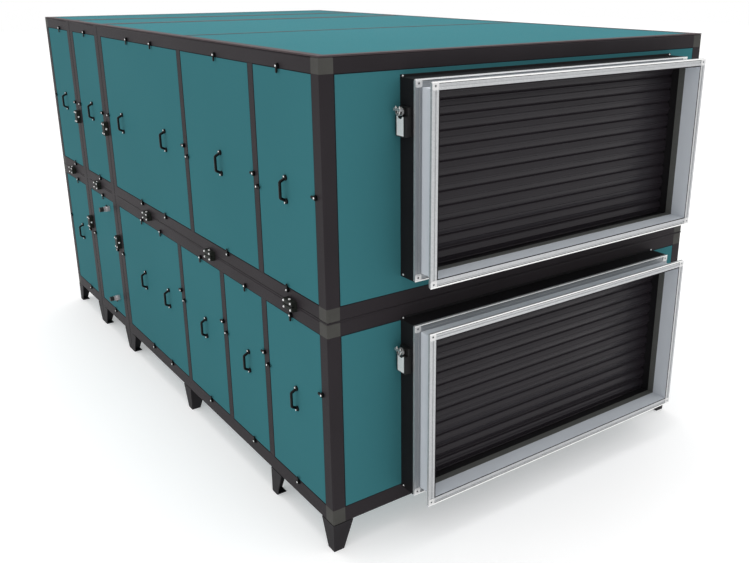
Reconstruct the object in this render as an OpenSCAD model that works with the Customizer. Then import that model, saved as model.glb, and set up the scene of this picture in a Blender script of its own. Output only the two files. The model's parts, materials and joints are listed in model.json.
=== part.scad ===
// Double-deck air handling unit: a framed casing in three sections per deck, insulated panels,
// two multi-blade dampers with flexible duct connectors at one end and plain connectors at the other.
// +X points out of the damper end, -Y out of the service side, +Z up, and the feet stand on z = 0.

/* [Casing] */
// Length of the section next to the dampers
near_l = 2790; // [2600:10:3200]
// Length of the middle section
middle_l = 630; // [500:10:900]
// Length of the section at the far end
far_l = 625; // [500:10:900]
// Width across the unit
unit_w = 2360; // [2250:10:2800]
// Height of the lower deck
lower_h = 1000; // [1000:10:1200]
// Height of the upper deck
upper_h = 1100; // [1100:10:1300]
// Gasket between neighbouring sections and between the decks
gasket = 4; // [2:0.5:8]

/* [Frame] */
// Face width of the outer frame profile
profile = 64; // [54:1:72]
// Height of the base rail under the lower deck
base_rail_h = 80; // [64:1:100]
// Radius of the profile's outer edge
edge_r = 7; // [2:0.5:12]
// Face width of the bars between two panels
mullion_w = 48; // [40:1:60]
// Centre of the first upper bar, from the damper end
upper_bar_1 = 603; // [500:1:700]
// Centre of the second upper bar, from the damper end
upper_bar_2 = 1436; // [1300:1:1600]
// Centre of the first lower bar, from the damper end
lower_bar_1 = 597; // [500:1:700]
// Centre of the second lower bar, from the damper end
lower_bar_2 = 1080; // [1000:1:1200]
// Centre of the third lower bar, from the damper end
lower_bar_3 = 1665; // [1500:1:1800]

/* [Panels] */
// Thickness of an insulated panel
panel_t = 50; // [30:1:54]
// Depth of a side panel's face behind the frame's face
panel_set = 2; // [0:0.5:4]
// Room between a panel and the frame on each side
panel_fit = 0.3; // [0.2:0.1:0.8]
// Thickness of the roof sheet over the frame
roof_t = 5; // [2:0.5:10]
// Distance of the roof sheet's edge behind the frame's face
roof_lip = 2; // [0:0.5:6]

/* [Handles] */
// Length of a bow handle over its two pads
handle_l = 130; // [116:1:160]
// Reach of a handle from its panel
handle_reach = 37; // [34:1:50]
// Thickness of the handle's bar
handle_d = 14; // [10:0.5:16]
// Run of the handle's two slanted legs along its length
handle_slope = 16; // [8:1:20]
// Diameter of the round pads at its ends
handle_pad_d = 26; // [20:0.5:28]
// Height of those pads
handle_pad_h = 10; // [5:0.5:14]
// Height of the upper handles above the deck's lower edge
upper_handle_z = 522; // [450:1:600]
// Height of the lower handles above the deck's lower edge
lower_handle_z = 527; // [450:1:600]

/* [Panel locks] */
// Diameter of a lock's round boss
lock_d = 24; // [16:1:30]
// Height of the boss above the frame's face
lock_h = 14; // [9:0.5:20]
// Length of the tongue from the boss's centre
tongue_l = 30; // [24:1:40]
// Width of the tongue
tongue_w = 13; // [8:1:16]
// Thickness of the tongue
tongue_t = 6; // [3:0.5:8]
// Distance from the panel's edge back to the boss's centre
lock_inset = 8; // [4:0.5:12]
// Height of the upper locks that hold a panel's near edge, above the deck's lower edge
upper_lock_z = 538; // [500:1:580]
// Height of the lower locks that hold a panel's near edge, above the deck's lower edge
lower_lock_z = 649; // [600:1:700]
// Drop of the lock on the other side of the same bar
lock_step = 55; // [40:1:80]

/* [Clamps] */
// Length of a clamp along the joint that it closes
clamp_l = 88; // [70:1:110]
// Width of a clamp across its joint
clamp_w = 48; // [40:1:60]
// Reach of a clamp from the frame's face
clamp_t = 28; // [16:0.5:36]
// Slope cut off a clamp's two outer edges
clamp_cut = 4; // [1:0.5:6]
// Thickness of the web that ties a clamp's two jaws together
clamp_web = 12; // [6:0.5:14]
// Height of the upper section clamps above the deck's lower edge
upper_clamp_z = 443; // [380:1:480]
// Height of the lower section clamps above the deck's lower edge
lower_clamp_z = 667; // [620:1:760]

/* [Feet] */
// Height of a foot
foot_h = 140; // [100:1:200]
// Width of a foot's sides at the top
foot_top_w = 107; // [90:1:140]
// Width of a foot's sides at the floor
foot_base_w = 53; // [40:1:80]
// Thickness of the bent sheet
foot_t = 5; // [3:0.5:8]
// Outer edge of the foot behind the near corner, from the damper end
foot_2_at = 620; // [500:1:700]
// Outer edge of the foot under the near section, from the damper end
foot_3_at = 1686; // [1500:1:1900]

/* [Dampers] */
// Depth of a damper casing
damper_d = 95; // [84:1:140]
// Face width of the casing's four sides
casing_t = 30; // [24:1:40]
// Distance of the dampers from the service side
damper_from_side = 380; // [300:5:440]
// Distance of the dampers from the back
damper_from_back = 250; // [200:5:440]
// Height of the upper damper above the deck's lower edge
upper_damper_z = 140; // [100:1:160]
// Drop of the upper damper below the deck's upper edge
upper_damper_drop = 96; // [60:1:140]
// Height of the lower damper above the deck's lower edge
lower_damper_z = 74; // [66:1:110]
// Drop of the lower damper below the deck's upper edge
lower_damper_drop = 62; // [50:1:110]
// Gap between blades, and between the end blades and the casing
blade_gap = 6; // [5:0.5:10]
// Thickness of a blade at its middle
blade_t = 14; // [12:0.5:18]
// Rise of a blade's round middle above its faces
blade_boss = 1; // [0.5:0.5:3]
// Radius of a blade's two edges
blade_edge_r = 2.5; // [1.5:0.5:4]
// Gap between a blade's end and the casing
blade_end_gap = 6; // [5:0.5:12]
// Diameter of a blade's pins
pin_d = 12; // [8:0.5:13]
// Depth of a pin's bearing in the casing
bearing_l = 20; // [12:1:22]
// Radial clearance of a pin in its bearing
pin_clear = 0.08; // [0.05:0.01:0.1]

/* [Damper drives] */
// Length of the drive's body along the damper's depth
drive_l = 67; // [54:1:80]
// Height of the drive's body
drive_h = 122; // [100:1:150]
// Thickness of the drive's base
drive_base_t = 16; // [10:1:24]
// Thickness of the drive's housing below the shaft
drive_t = 34; // [26:1:40]
// Height of the drive's body above its shaft
drive_above = 18; // [16:1:24]
// Diameter of the shaft clamp's neck
hub_d = 28; // [24:1:30]
// Diameter of the shaft clamp's head
head_d = 40; // [34:1:46]
// Length of the shaft clamp's head
head_l = 14; // [8:0.5:18]
// Gap between the shaft clamp and the drive's base
hub_gap = 2; // [1:0.5:4]
// Room between the shaft clamp and the drive's housing
hub_room = 5; // [5:0.5:8]

/* [Duct connectors] */
// Face width of a flange bar
flange_w = 34; // [26:1:42]
// Depth of a flange bar
flange_d = 12; // [8:0.5:20]
// Length of the sleeve between two flanges
sleeve_l = 98; // [60:1:140]
// Thickness of the sleeve
sleeve_t = 4; // [3:0.5:8]
// Width of the groove rolled into a flange bar
groove_w = 9; // [5:0.5:12]
// Depth of that groove
groove_d = 3; // [1:0.5:4]
// Outer radius of a flange's corner piece
corner_r = 8; // [3:0.5:12]
// Diameter of the bolt hole in a corner piece
bolt_d = 9; // [7:0.5:13]

/* [Pipe stubs] */
// Diameter of a pipe stub
stub_d = 34; // [32:1:44]
// Length of a pipe stub in front of its panel
stub_l = 42; // [34:1:60]
// Diameter of its cap
cap_d = 33; // [26:0.5:34]
// Length of its cap
cap_l = 26; // [12:1:30]
// Diameter of the fitting at the root of a stub
fitting_d = 38; // [36:1:50]
// Length of that fitting in front of its panel
fitting_l = 27; // [26:1:32]
// Diameter of the small vent plug on the fitting
plug_d = 13; // [9:1:15]
// Height of the vent plug above the fitting
plug_h = 5; // [4:1:12]
// Distance of the vent plug from the panel
plug_at = 19; // [10:1:19]
// Distance of the stubs from the middle section's near end
stub_from_end = 167; // [110:1:300]
// Height of the upper stub above the deck's lower edge
stub_upper_z = 865; // [780:1:890]
// Height of the lower stub above the deck's lower edge
stub_lower_z = 206; // [150:1:300]

/* [Hidden] */
$fn = 48;

// Colours of the finishes
teal = [0.10, 0.36, 0.38];
dark_grey = [0.16, 0.15, 0.16];
bracket_grey = [0.29, 0.29, 0.29];
near_black = [0.05, 0.05, 0.055];
zinc = [0.74, 0.76, 0.78];
cloth_grey = [0.62, 0.66, 0.70];
bright = [0.85, 0.85, 0.86];

// A small overlap that joins two shapes into one solid
bite = 1;

// Decks and sections
LOWER = 0;
UPPER = 1;
NEAR = 0;
FAR = 2;
decks = [LOWER, UPPER];
sections = [0, 1, 2];
total_l = near_l + middle_l + far_l;
half_w = unit_w / 2;
seam_z = foot_h + lower_h;
top_z = seam_z + upper_h;
deck_z = [[foot_h, seam_z - gasket / 2], [seam_z + gasket / 2, top_z]];
joint_u = [near_l, near_l + middle_l];
section_u = [
    [0, joint_u[0] - gasket / 2],
    [joint_u[0] + gasket / 2, joint_u[1] - gasket / 2],
    [joint_u[1] + gasket / 2, total_l]
];

// The origin is under the middle of the whole unit, connectors and stubs included
connector_l = 2 * flange_d + sleeve_l;
front_reach = max(stub_l + cap_l, handle_reach) - panel_set;
back_reach = clamp_t;
unit_x = -damper_d / 2;
unit_y = (front_reach - back_reach) / 2;

// Bars and panel bays, as distances from the damper end
bars_u = [[lower_bar_1, lower_bar_2, lower_bar_3], [upper_bar_1, upper_bar_2]];

// Handles and rail locks as [bay, share of the bay's width from its near edge]
handle_at = [
    [[0, 0.47], [1, 0.42], [2, 0.45], [3, 0.21], [3, 0.60], [5, 0.42]],
    [[0, 0.49], [1, 0.46], [2, 0.215], [2, 0.785], [3, 0.44], [4, 0.44]]
];
rail_lock_at = [
    [[0, 0.50], [1, 0.39], [2, 0.45], [3, 0.25], [3, 0.56], [4, 0.40], [5, 0.36]],
    [[0, 0.53], [1, 0.44], [2, 0.29], [2, 0.60], [3, 0.42], [4, 0.36]]
];
handle_z = [lower_handle_z, upper_handle_z];
lock_z = [lower_lock_z, upper_lock_z];
clamp_z = [lower_clamp_z, upper_clamp_z];
joint_lock_z = [lower_lock_z - lock_step, upper_lock_z];

// Shares of the unit's length where a clamp joins the decks
deck_clamp_at = [0.075, 0.294, 0.528, 0.774, 0.927];

// Feet as [outer edge from the damper end, way its side runs]
feet_at = [
    [0, 1], [foot_2_at, -1], [foot_3_at, 1], [section_u[0][1], -1], [section_u[1][0], 1],
    [section_u[1][1], -1], [section_u[2][0], 1], [total_l, -1]
];

// Dampers
damper_w = unit_w - damper_from_side - damper_from_back;
damper_y = (damper_from_side - damper_from_back) / 2;
damper_z = [deck_z[LOWER][0] + lower_damper_z, deck_z[UPPER][0] + upper_damper_z];
damper_top = [deck_z[LOWER][1] - lower_damper_drop, deck_z[UPPER][1] - upper_damper_drop];
damper_h = damper_top - damper_z;
open_w = damper_w - 2 * casing_t;
open_h = [for (h = damper_h) h - 2 * casing_t];
blade_count = 12;
drive_blade = 11;
blade_chord = [for (h = open_h) (h - (blade_count + 1) * blade_gap) / blade_count];
blade_l = open_w - 2 * blade_end_gap;
blade_x = total_l / 2 + damper_d / 2;
drive_side_y = damper_y - damper_w / 2;
neck_l = drive_t + hub_room - drive_base_t - hub_gap;
hub_l = neck_l + head_l;
drive_pin_l = blade_end_gap + casing_t + drive_base_t + hub_gap + hub_l;
sleeve_w = damper_w - 2 * flange_w - 2 * panel_fit;
sleeve_h = [for (h = damper_h) h - 2 * flange_w - 2 * panel_fit];

// Lengthwise place of a point that lies u from the damper end
function along(u) = total_l / 2 - u;

// Height of the rail on one edge of a deck
function rail_h(deck, at_top) = (deck == LOWER && !at_top) ? base_rail_h : profile;

// Clear bay of a deck between its rails
function bay_z(deck) = [deck_z[deck][0] + rail_h(deck, false), deck_z[deck][1] - profile];

// Panel bays of a deck along the unit
function bays(deck) = let (
    starts = concat([profile], [for (u = bars_u[deck]) u + mullion_w / 2]),
    ends = concat([for (u = bars_u[deck]) u - mullion_w / 2], [section_u[0][1] - profile])
) concat(
    [for (i = [0 : len(starts) - 1]) [starts[i], ends[i]]],
    [for (s = [1, 2]) [section_u[s][0] + profile, section_u[s][1] - profile]]
);

// Lengthwise place of a share of a bay
function in_bay(deck, place) = let (bay = bays(deck)[place[0]]) bay[0] + place[1] * (bay[1] - bay[0]);

// Height of a blade's pivot, counted from the lowest blade
function blade_z(deck, number) =
    damper_z[deck] + casing_t + blade_chord[deck] / 2 + blade_gap
    + (number - 1) * (blade_chord[deck] + blade_gap);

// Moves the drawn unit so that the origin is under its middle
module placed() {
    translate([unit_x, unit_y, 0]) children();
}

// Frame profile with its outer corner at the origin, rounded
module edge_profile(w, h) {
    difference() {
        square([w, h]);
        difference() {
            square(edge_r);
            translate([edge_r, edge_r]) circle(edge_r);
        }
    }
}

// Frame bar along X, with its outer edge at y and z, running inwards along side and up
module bar_along_x(x0, x1, y, z, side, up, h) {
    translate([x0, y, z])
        rotate([90, 0, 90])
            linear_extrude(x1 - x0)
                mirror([side < 0 ? 1 : 0, 0])
                    mirror([0, up < 0 ? 1 : 0])
                        edge_profile(profile, h);
}

// Frame bar along Y, with its outer edge at x and z
module bar_along_y(y0, y1, x, z, ahead, up, h) {
    translate([x, y1, z])
        rotate([90, 0, 0])
            linear_extrude(y1 - y0)
                mirror([ahead < 0 ? 1 : 0, 0])
                    mirror([0, up < 0 ? 1 : 0])
                        edge_profile(profile, h);
}

// Frame bar along Z, with its outer edge at x and y
module bar_along_z(z0, z1, x, y, ahead, side) {
    translate([x, y, z0])
        linear_extrude(z1 - z0)
            mirror([ahead < 0 ? 1 : 0, 0])
                mirror([0, side < 0 ? 1 : 0])
                    edge_profile(profile, profile);
}

// Upright posts at both ends of every section, between brackets at the unit's own corners
module posts() {
    color(dark_grey) placed()
        for (deck = decks, section = sections, end = [0, 1], side = [-1, 1]) {
            corner = (section == NEAR && end == 0) || (section == FAR && end == 1);
            z0 = deck_z[deck][0] + (corner ? rail_h(deck, false) : 0);
            z1 = deck_z[deck][1] - (corner ? profile : 0);
            bar_along_z(z0, z1, along(section_u[section][end]), side * half_w, end == 0 ? -1 : 1, -side);
        }
}

// Rails along the unit, above and below each side
module long_rails() {
    color(dark_grey) placed()
        for (deck = decks, section = sections, side = [-1, 1], at_top = [false, true])
            bar_along_x(
                along(section_u[section][1]) + profile, along(section_u[section][0]) - profile,
                side * half_w, deck_z[deck][at_top ? 1 : 0], -side, at_top ? -1 : 1, rail_h(deck, at_top)
            );
}

// Rails across the unit at both ends of every section
module cross_rails() {
    color(dark_grey) placed()
        for (deck = decks, section = sections, end = [0, 1], at_top = [false, true])
            bar_along_y(
                -half_w + profile, half_w - profile, along(section_u[section][end]),
                deck_z[deck][at_top ? 1 : 0], end == 0 ? -1 : 1, at_top ? -1 : 1, rail_h(deck, at_top)
            );
}

// Upright bars between the panels of the near section, on both sides
module mullions() {
    color(dark_grey) placed()
        for (deck = decks, u = bars_u[deck], side = [-1, 1])
            translate([
                along(u) - mullion_w / 2, side < 0 ? -half_w : half_w - profile, bay_z(deck)[0]
            ])
                cube([mullion_w, profile, bay_z(deck)[1] - bay_z(deck)[0]]);
}

// Corner brackets, each where three rounded bars would meet
module corner_brackets() {
    color(bracket_grey) placed()
        for (deck = decks, end = [-1, 1], side = [-1, 1], at_top = [false, true]) {
            h = rail_h(deck, at_top);
            up = at_top ? -1 : 1;
            x = end * total_l / 2;
            y = side * half_w;
            z = deck_z[deck][at_top ? 1 : 0];
            x0 = min(x, x - end * profile);
            y0 = min(y, y - side * profile);
            z0 = min(z, z + up * h);
            intersection() {
                bar_along_x(x0, x0 + profile, y, z, -side, up, h);
                bar_along_y(y0, y0 + profile, x, z, -end, up, h);
                bar_along_z(z0, z0 + h, x, y, -end, -side);
            }
        }
}

// Insulated slab that fills a bay with a little room all round
module bay_panel(bay, z, y) {
    translate([along(bay[1]) + panel_fit, y, z[0] + panel_fit])
        cube([
            bay[1] - bay[0] - 2 * panel_fit, panel_t, z[1] - z[0] - 2 * panel_fit
        ]);
}

module access_panels(deck) {
    color(teal) placed()
        for (bay = bays(deck))
            bay_panel(bay, bay_z(deck), -half_w + panel_set);
}

module upper_access_panels() {
    access_panels(UPPER);
}

module lower_access_panels() {
    access_panels(LOWER);
}

// Fixed panels on the side away from the service side
module back_panels() {
    color(teal) placed()
        for (deck = decks, bay = bays(deck))
            bay_panel(bay, bay_z(deck), half_w - panel_set - panel_t);
}

// Roof panel: a core between the rails under a sheet that covers them
module roof_panel(u0, u1, core_u0, core_u1) {
    core_w = unit_w - 2 * profile - 2 * panel_fit;
    translate([along(u1), -half_w + roof_lip, top_z])
        cube([u1 - u0, unit_w - 2 * roof_lip, roof_t]);
    translate([along(core_u1), -core_w / 2, top_z - panel_t])
        cube([core_u1 - core_u0, core_w, panel_t + bite]);
}

module roof_panels() {
    rim = profile + panel_fit;
    split = [upper_bar_2 - gasket / 2, upper_bar_2 + gasket / 2];
    color(teal) placed() {
        roof_panel(roof_lip, split[0], rim, split[0]);
        roof_panel(split[1], section_u[0][1], split[1], section_u[0][1] - rim);
        roof_panel(section_u[1][0], section_u[1][1], section_u[1][0] + rim, section_u[1][1] - rim);
        roof_panel(section_u[2][0], total_l - roof_lip, section_u[2][0] + rim, total_l - rim);
    }
}

// Level slab between the rails of one section
module level_panel(section, z) {
    u = section_u[section];
    rim = profile + panel_fit;
    translate([along(u[1]) + rim, -half_w + rim, z])
        cube([u[1] - u[0] - 2 * rim, unit_w - 2 * rim, panel_t]);
}

// Floors of the upper deck and ceilings of the lower deck
module deck_panels() {
    color(teal) placed()
        for (section = sections) {
            level_panel(section, deck_z[UPPER][0] + panel_set);
            level_panel(section, deck_z[LOWER][1] - panel_set - panel_t);
        }
}

module floor_panels() {
    color(teal) placed()
        for (section = sections)
            level_panel(section, deck_z[LOWER][0] + panel_set);
}

// End panel of a deck with a window behind its duct connector
module end_panel(deck, x) {
    z = bay_z(deck);
    translate([x, 0, 0])
        difference() {
            translate([0, -half_w + profile + panel_fit, z[0] + panel_fit])
                cube([panel_t, unit_w - 2 * profile - 2 * panel_fit, z[1] - z[0] - 2 * panel_fit]);
            translate([-bite, damper_y - open_w / 2, damper_z[deck] + casing_t])
                cube([panel_t + 2 * bite, open_w, open_h[deck]]);
        }
}

module damper_end_panels() {
    color(teal) placed()
        for (deck = decks)
            end_panel(deck, total_l / 2 - panel_t);
}

module far_end_panels() {
    color(teal) placed()
        for (deck = decks)
            end_panel(deck, -total_l / 2);
}

// Bow handle on a panel's face at y = 0, standing out along -Y
module bow_handle() {
    pad_z = handle_l / 2 - handle_pad_d / 2;
    grip_z = pad_z - handle_slope;
    half_d = handle_d / 2;
    grip_y = -handle_reach;
    inner_y = handle_d - handle_reach;
    for (end = [-1, 1])
        translate([0, 0, end * pad_z])
            rotate([90, 0, 0])
                cylinder(h = handle_pad_h, d = handle_pad_d);
    translate([-half_d, 0, 0])
        rotate([90, 0, 90])
            linear_extrude(handle_d)
                polygon([
                    [0, -pad_z - half_d], [grip_y, -grip_z - half_d],
                    [grip_y, grip_z + half_d], [0, pad_z + half_d],
                    [0, pad_z - half_d], [inner_y, grip_z - half_d],
                    [inner_y, -grip_z + half_d], [0, -pad_z + half_d]
                ]);
}

module handles() {
    color(near_black) placed()
        for (deck = decks, place = handle_at[deck])
            translate([along(in_bay(deck, place)), -half_w + panel_set, deck_z[deck][0] + handle_z[deck]])
                bow_handle();
}

// Panel lock: a round boss on the frame and a tongue that laps over the panel, turned by angle
module panel_lock(u, z, angle) {
    translate([along(u), -half_w, z])
        rotate([0, angle, 0]) {
            rotate([90, 0, 0])
                cylinder(h = lock_h, d = lock_d);
            translate([-tongue_w / 2, -lock_h, 0])
                cube([tongue_w, tongue_t, tongue_l]);
        }
}

// Locks on the rails above and below every panel
module rail_locks() {
    down = 180;
    up = 0;
    for (deck = decks, place = rail_lock_at[deck]) {
        panel_lock(in_bay(deck, place), bay_z(deck)[1] + lock_inset, down);
        panel_lock(in_bay(deck, place), bay_z(deck)[0] - lock_inset, up);
    }
}

// Locks on the posts and bars beside every panel
module side_locks() {
    to_near = 90;
    to_far = -90;
    for (deck = decks) {
        z = deck_z[deck][0] + lock_z[deck];
        joint_z = deck_z[deck][0] + joint_lock_z[deck];
        panel_lock(profile - lock_inset, z, to_far);
        panel_lock(total_l - profile + lock_inset, joint_z, to_near);
        for (u = bars_u[deck]) {
            panel_lock(u + mullion_w / 2 - lock_inset, z, to_far);
            panel_lock(u - mullion_w / 2 + lock_inset, z - lock_step, to_near);
        }
        for (joint = [0, 1]) {
            panel_lock(section_u[joint][1] - profile + lock_inset, joint_z, to_near);
            panel_lock(section_u[joint + 1][0] + profile - lock_inset, joint_z, to_far);
        }
    }
}

module panel_locks() {
    color(near_black) placed() {
        rail_locks();
        side_locks();
    }
}

// Clamp across a joint that runs along Z: a jaw on each side of the joint and a web between them
module clamp() {
    jaw = clamp_w / 2;
    slit = gasket / 2;
    translate([0, 0, -clamp_l / 2])
        linear_extrude(clamp_l)
            polygon([
                [-jaw, 0], [-jaw, clamp_cut - clamp_t], [clamp_cut - jaw, -clamp_t],
                [-slit, -clamp_t], [-slit, -clamp_web], [slit, -clamp_web], [slit, -clamp_t],
                [jaw - clamp_cut, -clamp_t], [jaw, clamp_cut - clamp_t], [jaw, 0]
            ]);
}

// Clamps that pull two sections together, on both sides of the unit
module section_clamps() {
    color(near_black) placed()
        for (deck = decks, u = joint_u, side = [-1, 1])
            translate([along(u), side * half_w, deck_z[deck][0] + clamp_z[deck]])
                rotate([0, 0, side < 0 ? 0 : 180]) clamp();
}

// Clamps across the seam between the decks, on both sides of the unit
module deck_clamps() {
    color(near_black) placed()
        for (share = deck_clamp_at, side = [-1, 1])
            translate([along(share * total_l), side * half_w, seam_z])
                rotate([0, 90, side < 0 ? 0 : 180]) clamp();
}

// Tapered side of a foot in the XZ plane, with its upright edge at x = 0
module foot_side() {
    rotate([90, 0, 0])
        linear_extrude(foot_t)
            polygon([[0, 0], [foot_base_w, 0], [foot_top_w, foot_h], [0, foot_h]]);
}

// Foot bent from sheet: two tapered sides, a sole and a seat under the rail
module foot() {
    translate([0, foot_t, 0]) foot_side();
    mirror([1, -1, 0])
        translate([0, foot_t, 0]) foot_side();
    cube([foot_base_w, foot_base_w, foot_t]);
    translate([0, 0, foot_h - foot_t]) cube([profile, profile, foot_t]);
}

module feet() {
    color(dark_grey) placed()
        for (place = feet_at, side = [-1, 1])
            translate([along(place[0]), side * half_w, 0])
                mirror([place[1] > 0 ? 1 : 0, 0, 0])
                    mirror([0, side > 0 ? 1 : 0, 0])
                        foot();
}

// Upright sides of the damper casings, with a bearing for every blade pin
module damper_jambs() {
    bore_d = pin_d + 2 * pin_clear;
    color(near_black) placed()
        for (deck = decks, side = [-1, 1])
            difference() {
                translate([
                    total_l / 2, damper_y + side * (damper_w - casing_t) / 2 - casing_t / 2, damper_z[deck]
                ])
                    cube([damper_d, casing_t, damper_h[deck]]);
                for (number = [1 : blade_count])
                    translate([blade_x, damper_y + side * (open_w / 2 - bite), blade_z(deck, number)])
                        rotate([side < 0 ? 90 : -90, 0, 0])
                            cylinder(
                                h = bite + (side < 0 && number == drive_blade ? casing_t + bite : bearing_l),
                                d = bore_d
                            );
            }
}

// Heads and sills of the damper casings
module damper_rails() {
    color(near_black) placed()
        for (deck = decks, z = [damper_z[deck], damper_top[deck] - casing_t])
            translate([total_l / 2, damper_y - open_w / 2, z])
                cube([damper_d, open_w, casing_t]);
}

// Section of a hollow-looking blade: two shallow arcs, rounded edges and a round pin boss
module blade_section(chord) {
    face_sag = blade_t / 2 - blade_edge_r / 2;
    face_half = chord / 2 - blade_edge_r / 2;
    face_r = (pow(face_half, 2) + pow(face_sag, 2)) / (2 * face_sag);
    intersection() {
        translate([face_r - face_sag, 0]) circle(face_r, $fn = 180);
        translate([face_sag - face_r, 0]) circle(face_r, $fn = 180);
        square([blade_t, 2 * face_half], center = true);
    }
    for (edge = [-1, 1])
        translate([0, edge * (chord / 2 - blade_edge_r)]) circle(blade_edge_r);
    circle(d = blade_t + 2 * blade_boss);
}

// Damper blade across the opening, on pins; the drive's blade has the long pin
module blade(deck, number) {
    pin_l = blade_end_gap + bearing_l - bite;
    outer_pin_l = number == drive_blade ? drive_pin_l : pin_l;
    color(near_black) placed()
        translate([blade_x, damper_y, blade_z(deck, number)])
            rotate([90, 0, 0]) {
                linear_extrude(blade_l, center = true) blade_section(blade_chord[deck]);
                translate([0, 0, -blade_l / 2 - pin_l]) cylinder(h = pin_l + bite, d = pin_d);
                translate([0, 0, blade_l / 2 - bite]) cylinder(h = outer_pin_l + bite, d = pin_d);
            }
}

// Shaft clamp on the long pin: a neck beside the drive's housing and a head in front of it
module hub(deck) {
    color(bright) placed()
        translate([blade_x, drive_side_y - drive_base_t - hub_gap, blade_z(deck, drive_blade)])
            rotate([90, 0, 0])
                difference() {
                    union() {
                        cylinder(h = hub_l, d = hub_d);
                        translate([0, 0, neck_l]) cylinder(h = head_l, d = head_d);
                    }
                    translate([0, 0, -bite]) cylinder(h = hub_l + 2 * bite, d = pin_d + pin_clear);
                }
}

module upper_hub() {
    hub(UPPER);
}

module lower_hub() {
    hub(LOWER);
}

// Damper drives on the casings' service side: a base round the shaft and a housing below it
module damper_drives() {
    color(near_black) placed()
        for (deck = decks)
            translate([blade_x, drive_side_y, blade_z(deck, drive_blade)])
                difference() {
                    union() {
                        translate([-drive_l / 2, -drive_base_t, drive_above - drive_h])
                            cube([drive_l, drive_base_t, drive_h]);
                        translate([-drive_l / 2, -drive_t, drive_above - drive_h])
                            cube([drive_l, drive_t, drive_h - drive_above - hub_d / 2 - hub_room]);
                    }
                    translate([0, bite, 0])
                        rotate([90, 0, 0])
                            cylinder(h = drive_base_t + 2 * bite, d = pin_d + 2 * pin_clear);
                }
}

// The two ends of the unit that duct connectors sit on, as signs of X
ends = [-1, 1];

// Places a duct connector: z up from its lower edge, x out of the casing
module connector_at(deck, end) {
    x = total_l / 2 + (end > 0 ? damper_d : 0);
    translate([end * x, damper_y, damper_z[deck]])
        mirror([end < 0 ? 1 : 0, 0, 0]) children();
}

// Flange bar in the YZ plane, with a groove along its outer face
module flange_bar(length) {
    difference() {
        translate([0, -length / 2, 0]) cube([flange_d, length, flange_w]);
        translate([flange_d - groove_d, -length / 2 - bite, (flange_w - groove_w) / 2])
            cube([groove_d + bite, length + 2 * bite, groove_w]);
    }
}

module flange_bars() {
    color(zinc) placed()
        for (deck = decks, end = ends, x = [0, flange_d + sleeve_l], far = [0, 1])
            connector_at(deck, end) {
                translate([x, 0, far * (damper_h[deck] - flange_w)])
                    flange_bar(damper_w - 2 * flange_w);
                translate([x, far * damper_w - damper_w / 2 + (1 - far) * flange_w, damper_h[deck] / 2])
                    rotate([90, 0, 0])
                        flange_bar(damper_h[deck] - 2 * flange_w);
            }
}

// Corner piece of a flange, rounded outside and drilled for a bolt
module flange_corner() {
    rotate([90, 0, 90])
        linear_extrude(flange_d)
            difference() {
                square(flange_w);
                difference() {
                    square(corner_r);
                    translate([corner_r, corner_r]) circle(corner_r);
                }
                translate([flange_w / 2, flange_w / 2]) circle(d = bolt_d);
            }
}

module flange_corners() {
    color(zinc) placed()
        for (deck = decks, end = ends, x = [0, flange_d + sleeve_l], side = [-1, 1], up = [-1, 1])
            connector_at(deck, end)
                translate([x, side * damper_w / 2, (1 + up) * damper_h[deck] / 2])
                    mirror([0, side > 0 ? 1 : 0, 0])
                        mirror([0, 0, up > 0 ? 1 : 0])
                            flange_corner();
}

// Sleeve that runs inside both flanges of a connector
module sleeve(deck) {
    h = sleeve_h[deck];
    translate([0, -sleeve_w / 2, (damper_h[deck] - h) / 2])
        difference() {
            cube([connector_l, sleeve_w, h]);
            translate([-bite, sleeve_t, sleeve_t])
                cube([connector_l + 2 * bite, sleeve_w - 2 * sleeve_t, h - 2 * sleeve_t]);
        }
}

module sleeves(end) {
    color(cloth_grey) placed()
        for (deck = decks)
            connector_at(deck, end) sleeve(deck);
}

module near_sleeves() {
    sleeves(1);
}

module far_sleeves() {
    sleeves(-1);
}

// Places a piece on the axis of each pipe stub, on the panel's face
module stub_axis(z) {
    translate([
        along(section_u[1][0] + stub_from_end), -half_w + panel_set, deck_z[LOWER][0] + z
    ])
        rotate([90, 0, 0]) children();
}

module pipe_stubs() {
    color(zinc) placed()
        for (z = [stub_lower_z, stub_upper_z])
            stub_axis(z) {
                cylinder(h = stub_l, d = stub_d);
                cylinder(h = fitting_l, d = fitting_d);
            }
}

// Eight-sided caps on the stubs, and a vent plug above the upper stub and below the lower one
module pipe_caps() {
    color(near_black) placed()
        for (place = [[stub_lower_z, -1], [stub_upper_z, 1]])
            stub_axis(place[0]) {
                translate([0, 0, stub_l])
                    rotate(22.5) cylinder(h = cap_l, d = cap_d, $fn = 8);
                translate([0, 0, plug_at])
                    rotate([-90 * place[1], 0, 0])
                        difference() {
                            cylinder(h = fitting_d / 2 + plug_h, d = plug_d);
                            rotate([90, 0, 0])
                                cylinder(h = 2 * plug_d, d = fitting_d, center = true);
                        }
            }
}

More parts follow.
